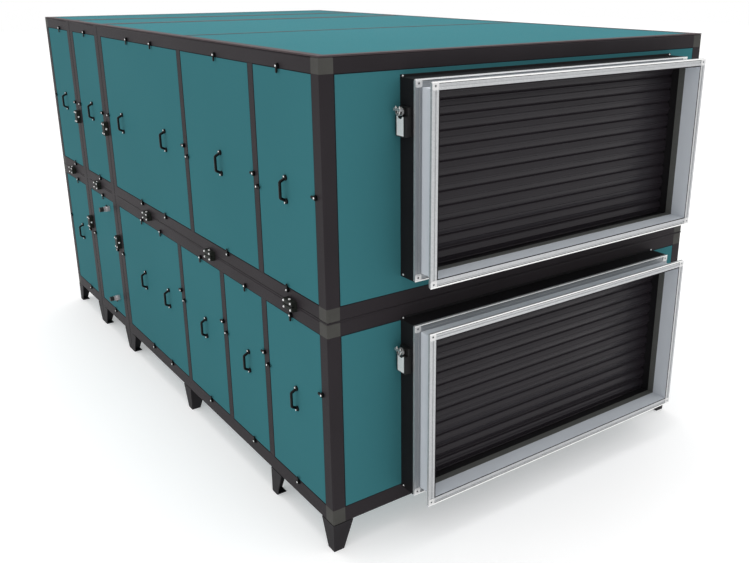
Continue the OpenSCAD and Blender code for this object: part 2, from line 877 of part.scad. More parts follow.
posts();
long_rails();
cross_rails();
mullions();
corner_brackets();
upper_access_panels();
lower_access_panels();
back_panels();
roof_panels();
deck_panels();
floor_panels();
damper_end_panels();
far_end_panels();
handles();
panel_locks();
section_clamps();
deck_clamps();
feet();
damper_jambs();
damper_rails();
flange_bars();
flange_corners();
near_sleeves();
far_sleeves();
pipe_stubs();
pipe_caps();
damper_drives();
upper_hub();
lower_hub();
blade(UPPER, 1);  // upper_blade_01
blade(UPPER, 2);  // upper_blade_02
blade(UPPER, 3);  // upper_blade_03
blade(UPPER, 4);  // upper_blade_04
blade(UPPER, 5);  // upper_blade_05
blade(UPPER, 6);  // upper_blade_06
blade(UPPER, 7);  // upper_blade_07
blade(UPPER, 8);  // upper_blade_08
blade(UPPER, 9);  // upper_blade_09
blade(UPPER, 10);  // upper_blade_10
blade(UPPER, 11);  // upper_blade_11
blade(UPPER, 12);  // upper_blade_12
blade(LOWER, 1);  // lower_blade_01
blade(LOWER, 2);  // lower_blade_02
blade(LOWER, 3);  // lower_blade_03
blade(LOWER, 4);  // lower_blade_04
blade(LOWER, 5);  // lower_blade_05
blade(LOWER, 6);  // lower_blade_06
blade(LOWER, 7);  // lower_blade_07
blade(LOWER, 8);  // lower_blade_08
blade(LOWER, 9);  // lower_blade_09
blade(LOWER, 10);  // lower_blade_10
blade(LOWER, 11);  // lower_blade_11
blade(LOWER, 12);  // lower_blade_12
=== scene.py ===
import json
import math
import bmesh
import bpy
from mathutils import Matrix, Vector


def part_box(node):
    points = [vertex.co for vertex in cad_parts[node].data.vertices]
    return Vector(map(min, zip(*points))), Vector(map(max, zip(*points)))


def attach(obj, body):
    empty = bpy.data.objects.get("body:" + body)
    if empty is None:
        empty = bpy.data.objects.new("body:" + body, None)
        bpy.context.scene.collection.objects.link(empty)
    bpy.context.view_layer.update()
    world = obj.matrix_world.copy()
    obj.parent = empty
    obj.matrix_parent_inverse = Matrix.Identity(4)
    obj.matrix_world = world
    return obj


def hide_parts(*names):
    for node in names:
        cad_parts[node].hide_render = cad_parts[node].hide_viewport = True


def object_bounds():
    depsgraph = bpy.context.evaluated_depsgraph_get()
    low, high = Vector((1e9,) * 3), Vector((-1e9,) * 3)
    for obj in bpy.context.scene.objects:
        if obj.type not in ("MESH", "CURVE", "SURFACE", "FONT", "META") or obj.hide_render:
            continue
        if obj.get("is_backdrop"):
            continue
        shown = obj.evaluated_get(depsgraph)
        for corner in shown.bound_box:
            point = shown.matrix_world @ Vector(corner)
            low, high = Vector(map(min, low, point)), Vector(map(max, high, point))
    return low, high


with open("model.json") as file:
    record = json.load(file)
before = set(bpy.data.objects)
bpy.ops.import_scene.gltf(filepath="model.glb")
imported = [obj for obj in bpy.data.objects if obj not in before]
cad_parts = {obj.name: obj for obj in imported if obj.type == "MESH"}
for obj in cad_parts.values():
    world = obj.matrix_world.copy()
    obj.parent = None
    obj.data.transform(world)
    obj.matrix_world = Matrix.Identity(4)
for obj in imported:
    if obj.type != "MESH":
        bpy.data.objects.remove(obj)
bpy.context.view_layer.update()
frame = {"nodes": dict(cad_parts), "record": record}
nodes = frame["nodes"]
mm = 0.001
weldReach = 0.01 * mm
foldAngle = math.radians(40)
splitAngle = math.radians(35)
east, west = Vector((1, 0, 0)), Vector((-1, 0, 0))
north, south = Vector((0, 1, 0)), Vector((0, -1, 0))
skyward = Vector((0, 0, 1))
print("frame loaded:", len(nodes), "nodes")


# shader sums: a wire is a socket that can be added, scaled and mixed
class Wire:
    def __init__(self, tree, socket=None):
        self.tree = tree
        self.socket = socket

    # any node: its type, its settings, then the values or wires of its sockets
    def node(self, kind, settings=None, inputs=None, out=0):
        made = self.tree.nodes.new("ShaderNode" + kind)
        for name, value in (settings or {}).items():
            setattr(made, name, value)
        for name, value in (inputs or {}).items():
            if isinstance(value, Wire):
                self.tree.links.new(value.socket, made.inputs[name])
            else:
                made.inputs[name].default_value = value
        return Wire(self.tree, made.outputs[out])

    def sum(self, operation, first, second):
        return self.node("Math", {"operation": operation}, {0: first, 1: second})

    def __add__(self, other):
        return self.sum("ADD", self, other)

    def __radd__(self, other):
        return self.sum("ADD", other, self)

    def __sub__(self, other):
        return self.sum("SUBTRACT", self, other)

    def __rsub__(self, other):
        return self.sum("SUBTRACT", other, self)

    def __mul__(self, other):
        return self.sum("MULTIPLY", self, other)

    def __rmul__(self, other):
        return self.sum("MULTIPLY", other, self)

    def __abs__(self):
        return self.node("Math", {"operation": "ABSOLUTE"}, {0: self})

    # how far a value of 0 to 1 is off its middle, scaled
    def swing(self, amount):
        return (self - 0.5) * amount

    # the value squeezed between two others, as 0 to 1
    def between(self, low, high):
        return self.node("MapRange", {"clamp": True}, {"Value": self, "From Min": low, "From Max": high})

    # this wire as a mask between two colours; 6, 7 and 2 are the node's colour sockets
    def mix(self, first, second):
        return self.node("Mix", {"data_type": "RGBA"}, {0: self, 6: first, 7: second}, out=2)

    def noise(self, scale, detail=3.0):
        return self.node("TexNoise", {}, {"Vector": self, "Scale": scale, "Detail": detail})

    def stretched(self, x, y, z):
        return self.node("VectorMath", {"operation": "MULTIPLY"}, {0: self, 1: (x, y, z)})

    def axis(self, name):
        return self.node("SeparateXYZ", {}, {"Vector": self}, out="XYZ".index(name))


# a new material, its shader and the wire of a point's place on the piece, in metres
def newFinish(name, fixed):
    finish = bpy.data.materials.new(name)
    finish.use_nodes = True
    tree = finish.node_tree
    shader = tree.nodes["Principled BSDF"]
    for socket, value in fixed.items():
        shader.inputs[socket].default_value = value
    place = Wire(tree).node("TexCoord", out="Object")
    return finish, shader, place


def feed(shader, wires):
    for socket, wire in wires.items():
        wire.tree.links.new(wire.socket, shader.inputs[socket])


def bump(height, depth):
    return height.node("Bump", {}, {"Height": height, "Distance": depth})


def rgb(red, green, blue):
    return (red, green, blue, 1.0)


# a powder coat: fine peel in the surface, a slow drift of tone, a little change of sheen
coat = {"driftSpan": (0.3, 0.7), "driftShare": 0.7, "grainDetail": 2.0, "sheen": 0.12}


def paintFinish(name, look):
    finish, shader, place = newFinish(name, {"Specular IOR Level": look["gloss"]})
    drift = place.noise(look["driftScale"]).between(*coat["driftSpan"])
    grain = place.noise(look["grainScale"], coat["grainDetail"])
    peel = place.noise(look["peelScale"])
    share = coat["driftShare"]
    feed(shader, {
        "Base Color": (drift * share + grain * (1 - share)).mix(look["dark"], look["light"]),
        "Roughness": look["roughness"] + grain.swing(coat["sheen"]),
        "Normal": bump(peel, look["peelDepth"]),
    })
    return finish


panelPaint = {
    "dark": rgb(0.035, 0.141, 0.160), "light": rgb(0.039, 0.153, 0.173), "gloss": 0.003, "roughness": 0.5,
    "driftScale": 0.9, "grainScale": 45.0, "peelScale": 700.0, "peelDepth": 0.15 * mm,
}
# the panel paint, lighter in green and blue and darker in red, for the roof: painted light on the top
roofPaintLit = {**panelPaint, "dark": rgb(0.031, 0.152, 0.174), "light": rgb(0.034, 0.165, 0.189)}
framePaint = {
    "dark": rgb(0.021, 0.018, 0.020), "light": rgb(0.027, 0.023, 0.026), "gloss": 0.06, "roughness": 0.5,
    "driftScale": 2.5, "grainScale": 120.0, "peelScale": 1100.0, "peelDepth": 0.2 * mm,
}
# the frame's paint made lighter, with less gloss, for the tops of the roof rails: painted sheen of light
# grazing across them
railTopPaintedSheen = {
    **framePaint, "dark": rgb(0.062, 0.048, 0.051), "light": rgb(0.076, 0.060, 0.063),
    "gloss": 0.03, "peelDepth": 0.1 * mm,
}
footPaint = {
    "dark": rgb(0.018, 0.016, 0.018), "light": rgb(0.024, 0.022, 0.024), "gloss": 0.09, "roughness": 0.55,
    "driftScale": 6.0, "grainScale": 140.0, "peelScale": 1000.0, "peelDepth": 0.25 * mm,
}
bracketGrain = {
    "dark": rgb(0.052, 0.051, 0.047), "light": rgb(0.064, 0.063, 0.058), "gloss": 0.08, "roughness": 0.55,
    "driftScale": 14.0, "grainScale": 400.0, "peelScale": 1500.0, "peelDepth": 0.3 * mm,
}
glossBlack = {
    "dark": rgb(0.002, 0.002, 0.002), "light": rgb(0.004, 0.004, 0.004), "gloss": 0.14, "roughness": 0.25,
    "driftScale": 30.0, "grainScale": 600.0, "peelScale": 900.0, "peelDepth": 0.1 * mm,
}
lockBlack = {**glossBlack, "gloss": 0.05, "roughness": 0.3}
clampBlack = {
    "dark": rgb(0.012, 0.014, 0.012), "light": rgb(0.020, 0.022, 0.019), "gloss": 0.05, "roughness": 0.42,
    "driftScale": 25.0, "grainScale": 300.0, "peelScale": 800.0, "peelDepth": 0.2 * mm,
}
damperBlack = {
    "dark": rgb(0.009, 0.0083, 0.0093), "light": rgb(0.012, 0.0112, 0.0123), "gloss": 0.12, "roughness": 0.55,
    "driftScale": 4.0, "grainScale": 200.0, "peelScale": 1100.0, "peelDepth": 0.2 * mm,
}
bladeBlack = {
    "dark": rgb(0.0152, 0.013, 0.0157), "light": rgb(0.0192, 0.0166, 0.0198),
    "gloss": 0.17, "roughness": 0.22,
    "driftScale": 3.0, "grainScale": 160.0, "peelScale": 1000.0, "peelDepth": 0.05 * mm,
}
capBlack = {
    "dark": rgb(0.006, 0.006, 0.006), "light": rgb(0.012, 0.011, 0.011), "gloss": 0.35, "roughness": 0.5,
    "driftScale": 40.0, "grainScale": 500.0, "peelScale": 1200.0, "peelDepth": 0.3 * mm,
}
sealRubber = {
    "dark": rgb(0.009, 0.007, 0.009), "light": rgb(0.014, 0.011, 0.014), "gloss": 0.06, "roughness": 0.8,
    "driftScale": 12.0, "grainScale": 350.0, "peelScale": 900.0, "peelDepth": 0.3 * mm,
}

# zinc on steel: crystals of slightly different tone under fine rolling marks
zincMix = {
    "crystalShare": 0.6, "crystalSheen": 0.12, "rolledSheen": 0.08,
    "facing": (0.5, 0.6), "fade": 10 * mm,
}


def zincFinish(name, look):
    finish, shader, place = newFinish(name, {"Metallic": look["metal"]})
    cells = {"Vector": place, "Scale": look["crystalScale"]}
    crystal = place.node("TexVoronoi", {"feature": "F1"}, cells, "Color")
    spangle = crystal.node("SeparateColor", {}, {"Color": crystal})
    rolled = place.stretched(*look["rolling"]).noise(1.0)
    share = zincMix["crystalShare"]
    tone = (spangle * share + rolled * (1 - share)).mix(look["dark"], look["light"])
    if "inner" in look:
        # painted shade: the faces of the inner flanges, out of the way of the light, get a darker tone
        outward = abs(place.node("NewGeometry", out="Normal").axis("X")).between(*zincMix["facing"])
        paintedShadeRange = 1 - abs(place.axis("X")).between(look["innerUpTo"], look["innerUpTo"] + zincMix["fade"])
        tone = (outward * paintedShadeRange).mix(tone, look["inner"])
    sheen = spangle.swing(zincMix["crystalSheen"]) + rolled.swing(zincMix["rolledSheen"])
    feed(shader, {
        "Base Color": tone,
        "Roughness": look["roughness"] + sheen,
        "Normal": bump(rolled, look["rollDepth"]),
    })
    return finish


zincSheet = {
    "dark": rgb(0.42, 0.43, 0.44), "light": rgb(0.54, 0.55, 0.56), "metal": 0.6, "roughness": 0.4,
    "crystalScale": 160.0, "rolling": (900.0, 60.0, 900.0), "rollDepth": 0.08 * mm,
    # inner: a darker zinc tone on the inner flanges' faces up to innerUpTo, painted shade
    "inner": rgb(0.31, 0.325, 0.34), "innerUpTo": 2.1,
}
# zinc steel made much darker for the liners inside the connectors: painted shade
linerSteelShaded = {
    "dark": rgb(0.105, 0.108, 0.102), "light": rgb(0.140, 0.144, 0.136), "metal": 0.3, "roughness": 0.5,
    "crystalScale": 160.0, "rolling": (900.0, 60.0, 900.0), "rollDepth": 0.08 * mm,
}
pipeMetal = {
    "dark": rgb(0.38, 0.34, 0.35), "light": rgb(0.54, 0.49, 0.50), "metal": 0.5, "roughness": 0.35,
    "crystalScale": 220.0, "rolling": (500.0, 40.0, 500.0), "rollDepth": 0.08 * mm,
}
boltZinc = {
    "dark": rgb(0.82, 0.82, 0.82), "light": rgb(0.95, 0.95, 0.95), "metal": 0.45, "roughness": 0.28,
    "crystalScale": 600.0, "rolling": (1500.0, 1500.0, 300.0), "rollDepth": 0.05 * mm,
}
saddleZinc = {
    "dark": rgb(0.42, 0.42, 0.41), "light": rgb(0.62, 0.62, 0.61), "metal": 0.7, "roughness": 0.3,
    "crystalScale": 300.0, "rolling": (600.0, 600.0, 300.0), "rollDepth": 0.05 * mm,
}
plateSilver = {
    "dark": rgb(0.84, 0.84, 0.83), "light": rgb(0.95, 0.95, 0.94), "metal": 0.2, "roughness": 0.38,
    "crystalScale": 350.0, "rolling": (60.0, 1200.0, 1800.0), "rollDepth": 0.04 * mm,
}
cornerSilver = {**plateSilver, "dark": rgb(0.60, 0.60, 0.60), "light": rgb(0.72, 0.72, 0.72), "metal": 0.3}


# coated cloth of the duct sleeves: a fine plain weave under a smooth coat, slightly creased, with painted
# shade darkening the hollows of the creases
def clothFinish(name, look):
    finish, shader, place = newFinish(name, {"Specular IOR Level": look["gloss"]})

    def threads(direction, run):
        lines = {"Vector": run, "Scale": look["weaveScale"], "Distortion": look["waver"]}
        return place.node("TexWave", {"wave_type": "BANDS", "bands_direction": direction}, lines)

    weave = threads("X", place) * threads("DIAGONAL", place.stretched(0.0, 1.0, 1.0))
    creasesAndShade = place.stretched(*look["creaseStretch"]).noise(look["creaseScale"])
    # the creases also set the tone, darker in their hollows: painted shade
    share = look["creaseShadeShare"]
    feed(shader, {
        "Base Color": (creasesAndShade * share + weave * (1 - share)).mix(look["dark"], look["light"]),
        "Roughness": look["roughness"] + creasesAndShade.swing(look["sheen"]),
        "Normal": bump(weave * look["weaveDepth"] + creasesAndShade, look["creaseDepth"]),
    })
    return finish


sleeveCloth = {
    "dark": rgb(0.54, 0.575, 0.62), "light": rgb(0.64, 0.675, 0.72), "gloss": 0.2, "roughness": 0.55,
    "sheen": 0.15, "weaveScale": 260.0, "waver": 0.4, "weaveDepth": 0.15,
    "creaseStretch": (9.0, 1.2, 1.2), "creaseScale": 2.0, "creaseShadeShare": 0.6, "creaseDepth": 1.2 * mm,
}

finishes = {
    "panel_teal": paintFinish("panelPaint", panelPaint),
    "frame_grey": paintFinish("framePaint", framePaint),
    "foot_grey": paintFinish("footPaint", footPaint),
    "bracket_plastic": paintFinish("bracketGrain", bracketGrain),
    "handle_black": paintFinish("glossBlack", glossBlack),
    "clamp_black": paintFinish("clampBlack", clampBlack),
    "damper_black": paintFinish("damperBlack", damperBlack),
    "blade_black": paintFinish("bladeBlack", bladeBlack),
    "cap_black": paintFinish("capBlack", capBlack),
    "drive_black": paintFinish("driveBlack", capBlack),
    "galvanised": zincFinish("zincSheet", zincSheet),
    "pipe_metal": zincFinish("pipeMetal", pipeMetal),
    "hub_bright": zincFinish("boltZinc", boltZinc),
    "sleeve_cloth": clothFinish("sleeveCloth", sleeveCloth),
}
rubber = paintFinish("sealRubber", sealRubber)
# painted sheen on the roof's lip and borders
railSheenFinish = paintFinish("railTopPaintedSheen", railTopPaintedSheen)
# painted light on the roof sheets
roofLitFinish = paintFinish("roofPaintLit", roofPaintLit)
lockFinish = paintFinish("lockBlack", lockBlack)
saddleFinish = zincFinish("saddleZinc", saddleZinc)
plateFinish = zincFinish("plateSilver", plateSilver)
cornerFinish = zincFinish("cornerSilver", cornerSilver)
linerShadedFinish = zincFinish("linerSteelShaded", linerSteelShaded)
print("finishes made")

# the part's own solids get their finish, and a small fold on their edges
edgeFold = {
    "panel_teal": 1.2 * mm, "frame_grey": 1.5 * mm, "damper_black": 1.2 * mm, "galvanised": 0.8 * mm,
    "clamp_black": 1.5 * mm, "drive_black": 2.0 * mm, "foot_grey": 0.8 * mm, "cap_black": 0.8 * mm,
}
for part in frame["record"]["subparts"]:
    solid = nodes[part["node"]]
    slotName = part["material_slot"]
    solid.data.materials.clear()
    solid.data.materials.append(roofLitFinish if part["node"] == "roof_panels" else finishes[slotName])
    if slotName in edgeFold:
        weld = solid.modifiers.new("weld", "WELD")
        weld.merge_threshold = weldReach
        fold = solid.modifiers.new("fold", "BEVEL")
        fold.width = edgeFold[slotName]
        fold.segments = 2
        fold.limit_method = "ANGLE"
        fold.angle_limit = foldAngle
        fold.harden_normals = True
print("finishes given to the part's solids")


# the separate solids in a node, as lowest corner, highest corner and mean of the corners
def solidBoxes(node):
    mesh = bmesh.new()
    mesh.from_mesh(nodes[node].data)
    bmesh.ops.remove_doubles(mesh, verts=mesh.verts, dist=weldReach)
    boxes = []
    seen = set()
    for start in mesh.verts:
        if start in seen:
            continue
        seen.add(start)
        front = [start]
        island = []
        while front:
            vert = front.pop()
            island.append(vert.co.copy())
            for edge in vert.link_edges:
                other = edge.other_vert(vert)
                if other not in seen:
                    seen.add(other)
                    front.append(other)
        low = Vector([min(co[i] for co in island) for i in range(3)])
        high = Vector([max(co[i] for co in island) for i in range(3)])
        boxes.append((low, high, sum(island, Vector()) / len(island)))
    mesh.free()
    return boxes


# places that differ by more than a tenth of a millimetre, in order
def distinct(values):
    return sorted({round(value, 4) for value in values})


def placed(name, data):
    thing = bpy.data.objects.new(name, data)
    bpy.context.scene.collection.objects.link(thing)
    return thing


# a finished piece that moves with a body of the part
def makePiece(name, mesh, finish, body="casing"):
    bmesh.ops.recalc_face_normals(mesh, faces=mesh.faces)
    data = bpy.data.meshes.new(name)
    mesh.to_mesh(data)
    mesh.free()
    data.materials.append(finish)
    piece = placed(name, data)
    for face in data.polygons:
        face.use_smooth = True
    split = piece.modifiers.new("split", "EDGE_SPLIT")
    split.split_angle = splitAngle
    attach(piece, body)
    return piece


# rings of corners joined by faces, open or closed at the ends
def skinned(mesh, rings, closed=True):
    rows = [[mesh.verts.new(point) for point in ring] for ring in rings]
    for lower, upper in zip(rows, rows[1:]):
        for i in range(len(lower)):
            j = (i + 1) % len(lower)
            mesh.faces.new((lower[i], lower[j], upper[j], upper[i]))
    if closed:
        mesh.faces.new(rows[0][::-1])
        mesh.faces.new(rows[-1])


# a profile or outline given in shares of two lengths
def scaled(shares, first, second):
    return [(first * a, second * b) for a, b in shares]


# a profile of (radius, height) points turned about an axis; teeth cut every second step back
def turned(mesh, profile, place, axis, steps=20, teeth=0.0):
    turn = skyward.rotation_difference(axis).to_matrix().to_4x4()
    matrix = Matrix.Translation(place) @ turn
    rings = []
    for radius, height in profile:
        ring = []
        for i in range(steps):
            angle = 2 * math.pi * i / steps
            reach = radius - teeth * (i % 2)
            ring.append(matrix @ Vector((reach * math.cos(angle), reach * math.sin(angle), height)))
        rings.append(ring)
    skinned(mesh, rings)


# a flat outline of (across, up) points given thickness, with its front edge cut
def prism(mesh, outline, place, across, up, depth, cut=0.0):
    out = across.cross(up)
    count = len(outline)
    area = sum(a[0] * b[1] - b[0] * a[1] for a, b in zip(outline, outline[1:] + outline[:1]))
    points = [Vector(p) for p in (outline if area > 0 else outline[::-1])]
    inner = []
    for i, point in enumerate(points):
        before = (point - points[i - 1]).normalized()
        after = (points[(i + 1) % count] - point).normalized()
        inBefore = Vector((-before.y, before.x))
        inAfter = Vector((-after.y, after.x))
        inner.append(point + (inBefore + inAfter) / (1 + inBefore.dot(inAfter)) * cut)
    levels = [(points, 0.0), (points, depth - cut)] + ([(inner, depth)] if cut else [])
    skinned(mesh, [[place + across * p.x + up * p.y + out * rise for p in ring] for ring, rise in levels])


def rectangle(x0, y0, x1, y1):
    return [(x0, y0), (x1, y0), (x1, y1), (x0, y1)]


# points on a circle, from one angle to another in degrees
def arc(radius, first, last, step):
    angles = [math.radians(degrees) for degrees in range(first, last + 1, step)]
    return [(radius * math.cos(angle), radius * math.sin(angle)) for angle in angles]


# a rectangle with rounded corners, as outline points
def roundedOutline(width, height, radius):
    outline = []
    for x, y, start in ((1, -1, -90), (1, 1, 0), (-1, 1, 90), (-1, -1, 180)):
        centreX = x * (width / 2 - radius)
        centreY = y * (height / 2 - radius)
        outline += [(centreX + a, centreY + b) for a, b in arc(radius, start, start + 90, 18)]
    return outline


# a section of (inwards, out) points run round a closed flat loop of corners with mitred turns
def framed(mesh, corners, section, out):
    rows = []
    count = len(corners)
    for i, corner in enumerate(corners):
        before = (corner - corners[i - 1]).normalized()
        after = (corners[(i + 1) % count] - corner).normalized()
        inBefore = out.cross(before)
        inAfter = out.cross(after)
        mitre = (inBefore + inAfter) / (1 + inBefore.dot(inAfter))
        rows.append([mesh.verts.new(corner + mitre * side + out * rise) for side, rise in section])
    for i in range(count):
        first = rows[i]
        second = rows[(i + 1) % count]
        for j in range(len(section)):
            k = (j + 1) % len(section)
            mesh.faces.new((first[j], second[j], second[k], first[k]))


# a round bar swept along a path that bends in one plane, with a fixed side axis
def swept(mesh, path, side, radius, steps=14):
    angles = [2 * math.pi * k / steps for k in range(steps)]
    rings = []
    for i, point in enumerate(path):
        ahead = (path[min(i + 1, len(path) - 1)] - path[max(i - 1, 0)]).normalized()
        out = ahead.cross(side).normalized()
        rings.append([point + (side * math.cos(a) + out * math.sin(a)) * radius for a in angles])
    skinned(mesh, rings)


# a polyline with its inner corners rounded
def roundedPath(points, radius, steps=6):
    path = [points[0]]
    for before, corner, after in zip(points, points[1:], points[2:]):
        toBefore = (before - corner).normalized()
        toAfter = (after - corner).normalized()
        half = math.acos(max(-1, min(1, toBefore.dot(toAfter)))) / 2
        reach = radius / math.tan(half)
        start = corner + toBefore * reach
        end = corner + toAfter * reach
        for i in range(steps + 1):
            t = i / steps
            path.append(start * (1 - t) ** 2 + corner * (2 * t * (1 - t)) + end * t ** 2)
    path.append(points[-1])
    return path


# corners of one side of a box, turning left about the side's outward direction
def faceLoop(low, high, normal):
    axis = max(range(3), key=lambda i: abs(normal[i]))
    level = high[axis] if normal[axis] > 0 else low[axis]
    first, second = [i for i in range(3) if i != axis]
    corners = []
    for a, b in ((0, 0), (1, 0), (1, 1), (0, 1)):
        corner = Vector((0, 0, 0))
        corner[axis] = level
        corner[first] = high[first] if a else low[first]
        corner[second] = high[second] if b else low[second]
        corners.append(corner)
    turn = (corners[1] - corners[0]).cross(corners[2] - corners[1])
    return corners if turn.dot(normal) > 0 else corners[::-1]


# the outer side of a solid on the damper end or the far end: its direction and its level
def endSide(low, high):
    return (east, high.x) if low.x > 0 else (west, low.x)


# fasteners in shares of their radius: a domed screw with a recess, a six-sided head on a washer
fastener = {
    "screw": [(0.98, 0), (1, 0.3), (0.86, 0.8), (0.55, 1), (0.3, 1), (0.26, 0.45)], "screwRise": 0.55,
    "washer": [(1.2, 0), (1.2, 0.16), (1.1, 0.22)], "bolt": [(1, 0.2), (1, 0.75), (0.8, 0.9)],
}


def screwHead(mesh, place, axis, radius):
    turned(mesh, scaled(fastener["screw"], radius, radius * fastener["screwRise"]), place, axis, steps=18)


def boltHead(mesh, place, axis, radius):
    turned(mesh, scaled(fastener["washer"], radius, radius), place, axis, steps=20)
    turned(mesh, scaled(fastener["bolt"], radius, radius), place, axis, steps=6)


# rubber seal and folded rim round the panels of the sides and ends
panelEdges = {
    "seal": 3.5 * mm, "sealRise": 1.2 * mm, "sealProfile": [(0, 0), (1, 0), (0.75, 1), (0.25, 1)],
    "rim": 7 * mm, "rimRise": 1.0 * mm, "rimProfile": [(0, 0), (1, 0), (0.7, 0.6), (0.35, 1), (0.08, 0.7)],
}
outside = {
    "upper_access_panels": south, "lower_access_panels": south, "back_panels": north,
    "damper_end_panels": east, "far_end_panels": west,
}
seals = bmesh.new()
rims = bmesh.new()
sealSection = scaled(panelEdges["sealProfile"], panelEdges["seal"], panelEdges["sealRise"])
rimProfile = scaled(panelEdges["rimProfile"], panelEdges["rim"], panelEdges["rimRise"])
rimSection = [(panelEdges["seal"] + inwards, rise) for inwards, rise in rimProfile]
for node, normal in outside.items():
    for low, high, mean in solidBoxes(node):
        corners = faceLoop(low, high, normal)
        framed(seals, corners, sealSection, normal)
        framed(rims, corners, rimSection, normal)
makePiece("panelSeals", seals, rubber)
makePiece("panelRims", rims, finishes["panel_teal"])
print("seals and rims round the panels")

# bow handles with smooth bends, round pads and a bright screw in each pad
bow = {
    "half": 6.8 * mm, "bend": 10 * mm, "slope": 16 * mm, "sink": 2 * mm, "screw": 4 * mm, "screwAt": 0.75,
    "padRise": 10 * mm, "padProfile": [(1, 0), (1, 0.55), (0.93, 0.8), (0.75, 1)],
}
bows = bmesh.new()
brightScrews = bmesh.new()
for low, high, mean in solidBoxes("handles"):
    middle = (low + high) / 2
    padRadius = (high.x - low.x) / 2
    padZ = (high.z - low.z) / 2 - padRadius
    rootY, rootZ = high.y - bow["sink"], padZ - bow["sink"]
    gripY, gripZ = low.y + bow["half"], padZ - bow["slope"]
    turns = ((rootY, rootZ), (gripY, gripZ), (gripY, -gripZ), (rootY, -rootZ))
    points = [Vector((middle.x, y, middle.z + z)) for y, z in turns]
    swept(bows, roundedPath(points, bow["bend"]), east, bow["half"])
    for end in (-1, 1):
        pad = Vector((middle.x, high.y, middle.z + end * padZ))
        turned(bows, scaled(bow["padProfile"], padRadius, bow["padRise"]), pad, south, steps=26)
        outwards = end * (padRadius * bow["screwAt"] - bow["screw"])
        screwHead(brightScrews, pad + Vector((0, -bow["padRise"], outwards)), south, bow["screw"])
handles = makePiece("bowHandles", bows, finishes["handle_black"])
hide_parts("handles")
print("bow handles made")

# panel locks: a rounded boss with a bright screw, and a tongue with a round end
lock = {
    "low": 0.8, "bossProfile": [(1, 0), (1, 0.5), (0.95, 0.72), (0.8, 0.9), (0.5, 1)], "screw": 4.6 * mm,
    "tongueHalf": 6.5 * mm, "tongueDepth": 6 * mm, "tongueBack": 0.5 * mm, "tongueCut": 1.2 * mm,
}
locks = bmesh.new()
for low, high, mean in solidBoxes("panel_locks"):
    size = high - low
    lengthwise = 0 if size.x > size.z else 2
    boss = min(size.x, size.z) / 2
    middle = (low + high) / 2
    way = Vector((0, 0, 0))
    way[lengthwise] = 1 if mean[lengthwise] < middle[lengthwise] else -1
    centre = Vector((middle.x, high.y, middle.z))
    centre[lengthwise] = (low[lengthwise] + boss) if way[lengthwise] > 0 else (high[lengthwise] - boss)
    rise = size.y * lock["low"]
    turned(locks, scaled(lock["bossProfile"], boss, rise), centre, south, steps=26)
    half = lock["tongueHalf"]
    straight = max(size.x, size.z) - boss - half
    outline = [(0, -half), (straight, -half)]
    outline += [(straight + x, y) for x, y in arc(half, -75, 75, 15)]
    outline += [(straight, half), (0, half)]
    root = centre + Vector((0, lock["tongueDepth"] - rise, 0))
    thick = lock["tongueDepth"] - lock["tongueBack"]
    prism(locks, outline, root, way, south.cross(way), thick, lock["tongueCut"])
    screwHead(brightScrews, centre + Vector((0, -rise, 0)), south, lock["screw"])
lockPiece = makePiece("panelLocks", locks, lockFinish)
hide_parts("panel_locks")
print("panel locks made")

# bolts on the clamps: four on the front and one that ties the two jaws together
clampBolts = {"along": 31 * mm, "across": 15.5 * mm, "radius": 4.5 * mm, "tie": 5.2 * mm}
bolts = bmesh.new()
for node in ("section_clamps", "deck_clamps"):
    upright = node == "section_clamps"
    for low, high, mean in solidBoxes(node):
        middle = (low + high) / 2
        normal = south if middle.y < 0 else north
        front = low.y if middle.y < 0 else high.y
        for a in (-1, 1):
            for b in (-1, 1):
                alongBy, acrossBy = a * clampBolts["along"], b * clampBolts["across"]
                shift = Vector((acrossBy, 0, alongBy)) if upright else Vector((alongBy, 0, acrossBy))
                boltHead(bolts, Vector((middle.x, front, middle.z)) + shift, normal, clampBolts["radius"])
        if upright:
            boltHead(bolts, Vector((high.x, middle.y, middle.z)), east, clampBolts["tie"])
        else:
            boltHead(bolts, Vector((middle.x, middle.y, high.z)), skyward, clampBolts["tie"])
makePiece("clampBolts", bolts, finishes["hub_bright"])
print("clamp bolts made")

# fillers in the joints: round the unit between the decks, and upright between the sections
joint = {"lips": [(0.15 * mm, 3.4 * mm), (4.5 * mm, 2.6 * mm), (7.0 * mm, 1.9 * mm)]}  # depth, half width
fillers = bmesh.new()
postLow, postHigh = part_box("posts")
clampLow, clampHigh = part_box("deck_clamps")
seamZ = (clampLow.z + clampHigh.z) / 2
seamSection = [(depth, -half) for depth, half in joint["lips"]]
seamSection += [(depth, half) for depth, half in joint["lips"][::-1]]
seamLow, seamHigh = postLow.copy(), postHigh.copy()
seamLow.z = seamHigh.z = seamZ
framed(fillers, faceLoop(seamLow, seamHigh, skyward), seamSection, skyward)
for x in distinct((low.x + high.x) / 2 for low, high, mean in solidBoxes("section_clamps")):
    for face, way in ((postLow.y, 1), (postHigh.y, -1)):
        outline = [(-side, way * depth) for depth, side in seamSection]
        prism(fillers, outline, Vector((x, face, postLow.z)), east, north, postHigh.z - postLow.z)
makePiece("jointFillers", fillers, finishes["frame_grey"])

